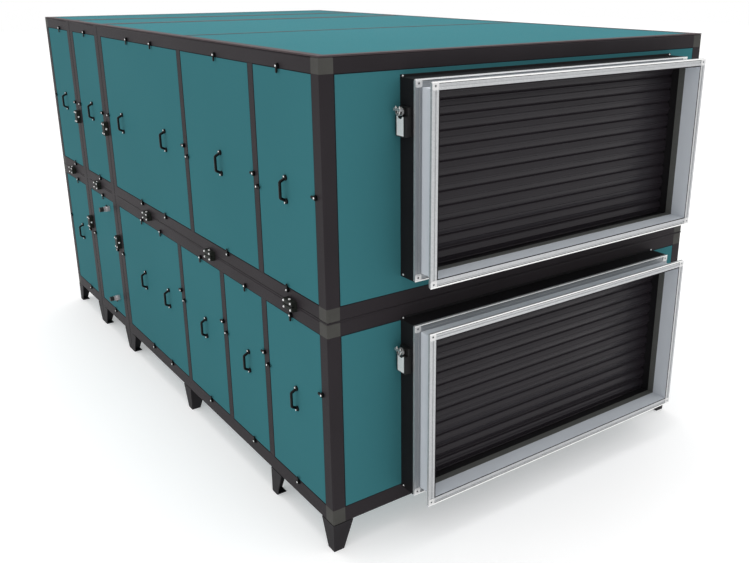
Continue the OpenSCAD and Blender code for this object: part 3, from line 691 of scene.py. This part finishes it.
# roof: a lip round it, a border on each sheet, narrow at the near joint, and dark seams; lip and border have
# the frame's paint made lighter, a painted sheen
roofTrim = {
    "border": 46 * mm, "bar": 16 * mm, "thick": 1.2 * mm, "cut": 0.4 * mm, "nearBy": 200 * mm,
    "lip": 1.0 * mm, "lipLow": 0.2 * mm, "lipHigh": 5.0 * mm, "seamLow": 0.3 * mm, "seamSink": 0.8 * mm,
}
roofBoxes = sorted(solidBoxes("roof_panels"), key=lambda box: box[0].x)
roofLow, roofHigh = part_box("roof_panels")
border, bar = roofTrim["border"], roofTrim["bar"]
edges = bmesh.new()
strips = bmesh.new()
sheetLow = Vector((roofLow.x, roofLow.y, postHigh.z))
sheetHigh = Vector((roofHigh.x, roofHigh.y, postHigh.z))
lipSection = rectangle(-roofTrim["lip"], roofTrim["lipLow"], 0, roofTrim["lipHigh"])
framed(edges, faceLoop(sheetLow, sheetHigh, skyward), lipSection, skyward)


def roofStrip(x0, x1, y0, y1):
    top = Vector((0, 0, roofHigh.z))
    prism(edges, rectangle(x0, y0, x1, y1), top, east, north, roofTrim["thick"], roofTrim["cut"])


nearSplit = (roofBoxes[-2][1].x + roofBoxes[-1][0].x) / 2
for low, high, mean in roofBoxes:
    for y0, y1 in ((low.y, low.y + border), (high.y - border, high.y)):
        roofStrip(low.x + border, high.x - border, y0, y1)
    for x0, x1 in ((low.x, low.x + border), (high.x - border, high.x)):
        if min(abs(x0 - nearSplit), abs(x1 - nearSplit)) > roofTrim["nearBy"]:
            roofStrip(x0, x1, low.y, high.y)
for y0, y1 in ((roofLow.y, roofLow.y + border), (roofHigh.y - border, roofHigh.y)):
    roofStrip(nearSplit - border, nearSplit + border, y0, y1)
roofStrip(nearSplit - bar, nearSplit + bar, roofLow.y + border, roofHigh.y - border)
for (low, high, mean), following in zip(roofBoxes, roofBoxes[1:]):
    half = (following[0].x - high.x) / 2
    outline = rectangle(-half, roofTrim["seamLow"], half, high.z - postHigh.z - roofTrim["seamSink"])
    prism(strips, outline, Vector((high.x + half, high.y, postHigh.z)), east, skyward, high.y - low.y)
makePiece("roofRails", edges, railSheenFinish)
makePiece("roofSeams", strips, rubber)
print("joints and roof trimmed")

# duct connectors: a dark bead inside the outer flange and a steel liner behind the inner one, the liner's
# steel darkened as painted shade
connector = {
    "bead": 4.6 * mm, "beadRise": 0.9 * mm, "beadOut": 0.4 * mm, "beadTop": (0.85, 0.1),
    "linerIn": 4.05 * mm, "linerThick": 0.8 * mm, "linerLong": 36 * mm,
}
beads = bmesh.new()
liners = bmesh.new()
beadSection = [(-connector["beadOut"], 0), (connector["bead"], 0)]
beadSection += [(connector["bead"] * share, connector["beadRise"]) for share in connector["beadTop"]]
linerOut = connector["linerIn"] + connector["linerThick"]
linerSection = rectangle(connector["linerIn"], 0, linerOut, -connector["linerLong"])
for node, normal in (("near_sleeves", east), ("far_sleeves", west)):
    for low, high, mean in solidBoxes(node):
        framed(beads, faceLoop(low, high, normal), beadSection, normal)
        framed(liners, faceLoop(low, high, -normal), linerSection, -normal)
makePiece("connectorBeads", beads, rubber)
makePiece("connectorLiners", liners, linerShadedFinish)

# raised corner plates on the flanges, with the bolt hole left open
plate = {"rise": 1.2 * mm, "edge": 0.6, "top": 0.96, "hole": 5.2 * mm, "round": 9 * mm}
plates = bmesh.new()
for low, high, mean in solidBoxes("flange_corners"):
    normal, x = endSide(low, high)
    across = skyward.cross(normal)
    centre = Vector((x, (low.y + high.y) / 2, (low.z + high.z) / 2))
    rise = plate["rise"]
    outer = roundedOutline(high.y - low.y, high.y - low.y, plate["round"])
    top = scaled(outer, plate["top"], plate["top"])
    hole = [Vector(point).normalized() * plate["hole"] for point in outer]
    levels = [(outer, 0), (outer, rise * plate["edge"]), (top, rise), (hole, rise), (hole, 0), (outer, 0)]
    rings = [[centre + across * a + skyward * b + normal * out for a, b in ring] for ring, out in levels]
    skinned(plates, rings, closed=False)
bmesh.ops.remove_doubles(plates, verts=plates.verts, dist=weldReach)
makePiece("cornerPlates", plates, cornerFinish)

# rolled lips along both edges of the flange bars, each with a thin dark strip beside it: painted shade of the
# groove at the lip's edge
barLip = {
    "wide": 6.2 * mm, "rise": 1.3 * mm, "profile": [(0, 0.6), (0.2, 1), (0.8, 1), (1, 0.5)], "sink": 0.2 * mm,
    "shadeLine": 2.4 * mm, "shadeLineRise": 0.3 * mm,
}
lips = bmesh.new()
creasesAndShade = bmesh.new()
for low, high, mean in solidBoxes("flange_bars"):
    normal, x = endSide(low, high)
    upright = high.z - low.z > high.y - low.y
    first, last = (low.y, high.y) if upright else (low.z, high.z)
    length = high.z - low.z if upright else high.y - low.y
    across = (skyward if upright else north).cross(normal)
    for edge, way in ((first, 1), (last, -1)):
        start = Vector((x, edge, high.z)) if upright else Vector((x, high.y, edge))
        side = way * (across.y if upright else across.z)
        wide = barLip["wide"] * side
        shadeLine = wide + barLip["shadeLine"] * side
        outline = [(0, -barLip["sink"])] + scaled(barLip["profile"], wide, barLip["rise"])
        outline += [(wide, -barLip["sink"])]
        prism(lips, outline, start, across, normal, length)
        # the dark strip: painted shade, not a part of its own
        outline = rectangle(wide, -barLip["sink"], shadeLine, barLip["shadeLineRise"])
        prism(creasesAndShade, outline, start, across, normal, length)
makePiece("flangeLips", lips, plateFinish)
makePiece("flangeShadeLines", creasesAndShade, rubber)
print("duct connectors trimmed")

# lips along the tops of the damper casings, screwed to the end panels, and screws low on the sides
casingLip = {
    "rise": 10 * mm, "sink": 1 * mm, "thick": 3 * mm, "cut": 0.8 * mm, "screw": 4.5 * mm,
    "screwIn": 11 * mm, "screwUp": 4 * mm, "sideIn": 20 * mm, "sideUp": 11 * mm,
}
casingLips = bmesh.new()
jambs = solidBoxes("damper_jambs")
for top in distinct(high.z for low, high, mean in jambs):
    pair = [(low, high) for low, high, mean in jambs if abs(high.z - top) < mm]
    corner = pair[0][0]
    first = min(low.y for low, high in pair)
    last = max(high.y for low, high in pair)
    outline = rectangle(first, -casingLip["sink"], last, casingLip["rise"])
    back = Vector((corner.x, 0, top))
    prism(casingLips, outline, back, north, skyward, casingLip["thick"], casingLip["cut"])
    for y in (first + casingLip["screwIn"], last - casingLip["screwIn"]):
        place = back + Vector((casingLip["thick"], y, casingLip["screwUp"]))
        screwHead(brightScrews, place, east, casingLip["screw"])
    for y, normal in ((first, south), (last, north)):
        place = Vector((corner.x + casingLip["sideIn"], y, corner.z + casingLip["sideUp"]))
        screwHead(brightScrews, place, normal, casingLip["screw"])
makePiece("casingLips", casingLips, finishes["damper_black"])
makePiece("brightScrews", brightScrews, finishes["hub_bright"])

# blank plates on the damper drives, with a notch under the shaft clamp
label = {
    "margin": 10 * mm, "bottom": 5 * mm, "top": 84 * mm, "thick": 0.8 * mm,
    "notch": 16 * mm, "notchDeep": 0.6,  # half width, and depth as a share of it
}
labels = bmesh.new()
notch = [(x, label["top"] - y * label["notchDeep"]) for x, y in arc(label["notch"], 0, 180, 20)]
for low, high, mean in solidBoxes("damper_drives"):
    half = (high.x - low.x) / 2 - label["margin"]
    outline = [(-half, label["bottom"]), (half, label["bottom"]), (half, label["top"])]
    outline += notch + [(-half, label["top"])]
    prism(labels, outline, Vector(((low.x + high.x) / 2, low.y, low.z)), east, skyward, label["thick"])
makePiece("driveLabels", labels, plateFinish)

# shaft clamps: a dark collar, a bent bolt round the shaft, a toothed yoke across it and two nuts on top
shaft = {
    # profiles are in mm, from the root of the head, or of the nut
    "neck": 14 * mm, "neckEnd": [(14, 2), (11.9, 4)], "headLong": 14 * mm,
    "ring": [(14, -12), (18, -11), (18, -4), (14, -3)], "ringTooth": 1.6 * mm,
    "end": [(7, 3), (7, 12.5), (5.6, 14)], "nut": [(6.4, 0.5), (6.4, 4.6), (5.12, 5.4)],
    "bar": 3.2 * mm, "bend": 13 * mm, "leg": 23 * mm,
    "yokeHalf": 25 * mm, "yokeLow": 4 * mm, "yokeHigh": 13 * mm, "yokeAt": 2 * mm, "yokeThick": 11 * mm,
    "yokeCut": 1.2 * mm, "tooth": 2.2 * mm, "toothPitch": 3 * mm,
}
bend = [Vector((x, 0, -z)) for x, z in arc(shaft["bend"], 0, 180, 15)]
bend = [Vector((shaft["bend"], 0, shaft["leg"]))] + bend + [Vector((-shaft["bend"], 0, shaft["leg"]))]
yokeHalf, yokeLow, yokeHigh = shaft["yokeHalf"], shaft["yokeLow"], shaft["yokeHigh"]
yoke = [(-yokeHalf, yokeLow)]
yoke += [(i * shaft["toothPitch"], yokeLow - shaft["tooth"] * (i % 2)) for i in range(-2, 3)]
yoke += [(yokeHalf, yokeLow), (yokeHalf, yokeHigh), (-yokeHalf, yokeHigh)]
for deck in ("upper", "lower"):
    low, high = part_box(deck + "_hub")
    centre = Vector(((low.x + high.x) / 2, high.y, (low.z + high.z) / 2))
    headAt = high.y - low.y - shaft["headLong"]
    neckEnd, ring, end = [[(radius * mm, headAt + height * mm) for radius, height in shaft[name]]
                          for name in ("neckEnd", "ring", "end")]
    collar = bmesh.new()
    turned(collar, [(shaft["neck"], 0)] + neckEnd, centre, south, steps=28)
    makePiece(deck + "ShaftCollar", collar, finishes["drive_black"], deck + "_blade_11")
    saddle = bmesh.new()
    turned(saddle, ring, centre, south, steps=36, teeth=shaft["ringTooth"])
    turned(saddle, end, centre, south, steps=24)
    at = centre + south * (headAt + shaft["headLong"] / 2)
    swept(saddle, [at + point for point in bend], north, shaft["bar"], steps=12)
    yokeAt = centre + south * (headAt + shaft["yokeAt"])
    prism(saddle, yoke, yokeAt, east, skyward, shaft["yokeThick"], shaft["yokeCut"])
    for side in (-1, 1):
        nutAt = at + Vector((side * shaft["bend"], 0, yokeHigh))
        turned(saddle, scaled(shaft["nut"], mm, mm), nutAt, skyward, steps=6)
    clampPiece = makePiece(deck + "ShaftClamp", saddle, saddleFinish, deck + "_blade_11")
    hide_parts(deck + "_hub")
print("damper drives trimmed")

# rubber edges on the damper blades
bladeSeal = {"half": 3.2 * mm, "lip": 2.94 * mm, "grip": 1.0 * mm, "taper": 0.4, "short": 22 * mm}
railLow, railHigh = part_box("damper_rails")
sealLong = railHigh.y - railLow.y - 2 * bladeSeal["short"]
half, taper = bladeSeal["half"], bladeSeal["taper"]
for deck in ("upper", "lower"):
    for number in range(1, 13):
        node = "%s_blade_%02d" % (deck, number)
        low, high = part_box(node)
        lips = bmesh.new()
        for edge, way in ((low.z, -1), (high.z, 1)):
            lip, grip = bladeSeal["lip"] * way, bladeSeal["grip"] * way
            right = [(half, -grip), (half, lip * taper), (half * taper, lip)]
            outline = right + [(-x, y) for x, y in right[::-1]]
            place = Vector(((low.x + high.x) / 2, railHigh.y - bladeSeal["short"], edge))
            prism(lips, outline, place, east, skyward, sealLong)
        makePiece("%sBladeSeal%02d" % (deck, number), lips, rubber, node)
print("blade seals made")

# pipe stubs: a fitting at the panel, the pipe's end in front of it, and a vent plug on the fitting
stub = {
    "profile": [(0.97, 0.0), (1.0, 0.05), (1.0, 0.6), (0.96, 0.645), (0.895, 0.65), (0.895, 1.0)],
    "plug": [(6.5, 0), (6.5, 5), (5.2, 5.4), (5.2, 8.6), (4.2, 9.4)], "plugAt": 19 * mm,  # profile in mm
    "plugSeat": 0.98, "upFrom": 500 * mm,  # plugs look up from this far under the seam between the decks
}
stubs = bmesh.new()
plugs = bmesh.new()
for low, high, mean in solidBoxes("pipe_stubs"):
    radius = (high.x - low.x) / 2
    root = Vector(((low.x + high.x) / 2, high.y, (low.z + high.z) / 2))
    turned(stubs, scaled(stub["profile"], radius, high.y - low.y), root, south, steps=32)
    upward = skyward if root.z > seamZ - stub["upFrom"] else -skyward
    seat = root + south * stub["plugAt"] + upward * radius * stub["plugSeat"]
    turned(plugs, scaled(stub["plug"], mm, mm), seat, upward, steps=12)
stubPiece = makePiece("pipeStubs", stubs, finishes["pipe_metal"])
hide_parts("pipe_stubs")
makePiece("ventPlugs", plugs, finishes["cap_black"])
print("pipe stubs made")

# the photo's view, from the near corner of the frame at floor level
view = {
    "fromCorner": Vector((2.8773, -1.6592, 2.5330)), "right": Vector((0.5868, 0.8097, 0.0005)),
    "down": Vector((0.2565, -0.1853, -0.9486)), "forward": Vector((-0.768, 0.5568, -0.3165)),
    "lens": 40.736, "shift": (-0.04563, -0.02910), "sensor": 36, "farthest": 200,
}
camera = placed("camera", bpy.data.cameras.new("camera"))
bpy.context.scene.camera = camera
axes = Matrix((view["right"], -view["down"], -view["forward"])).transposed()
nearCorner = Vector((postHigh.x, postLow.y, 0))
camera.matrix_world = Matrix.Translation(nearCorner + view["fromCorner"]) @ axes.to_4x4()
camera.data.sensor_width = view["sensor"]
camera.data.lens = view["lens"]
camera.data.shift_x, camera.data.shift_y = view["shift"]
camera.data.clip_end = view["farthest"]

# pale floor and soft studio light
studio = {
    "floor": (rgb(0.78, 0.78, 0.78), rgb(0.81, 0.81, 0.81)), "floorScale": 0.6, "floorDetail": 2.0,
    "floorHalf": 40, "floorRoughness": 0.9, "floorGloss": 0.1, "floorGlow": 0.32,
    "world": rgb(1.0, 1.0, 1.0), "worldStrength": 1.0,
    "lampAt": (0, 0, 7), "lampAim": (0, 0, 0), "lampSize": (7, 5), "lampPower": 200.0,
}
ground = bmesh.new()
bmesh.ops.create_grid(ground, x_segments=8, y_segments=8, size=studio["floorHalf"])
floorData = bpy.data.meshes.new("floor")
ground.to_mesh(floorData)
ground.free()
floorFinish, floorShader, floorPlace = newFinish("paleFloor", {
    "Roughness": studio["floorRoughness"], "Specular IOR Level": studio["floorGloss"],
    "Emission Color": studio["world"], "Emission Strength": studio["floorGlow"],
})
floorNoise = floorPlace.noise(studio["floorScale"], studio["floorDetail"])
feed(floorShader, {"Base Color": floorNoise.mix(*studio["floor"])})
floorData.materials.append(floorFinish)
floor = placed("floor", floorData)
floor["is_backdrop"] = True

world = bpy.data.worlds.new("studio")
world.use_nodes = True
sky = world.node_tree.nodes["Background"]
sky.inputs["Color"].default_value = studio["world"]
sky.inputs["Strength"].default_value = studio["worldStrength"]
bpy.context.scene.world = world
bpy.context.scene.view_settings.view_transform = "Standard"

light = bpy.data.lights.new("overhead", "AREA")
light.shape = "RECTANGLE"
light.size, light.size_y = studio["lampSize"]
light.energy = studio["lampPower"]
lamp = placed("overhead", light)
lamp.location = studio["lampAt"]
lamp.rotation_mode = "QUATERNION"
lamp.rotation_quaternion = (Vector(studio["lampAim"]) - Vector(studio["lampAt"])).to_track_quat("-Z", "Y")
print("camera and light set")

low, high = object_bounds()
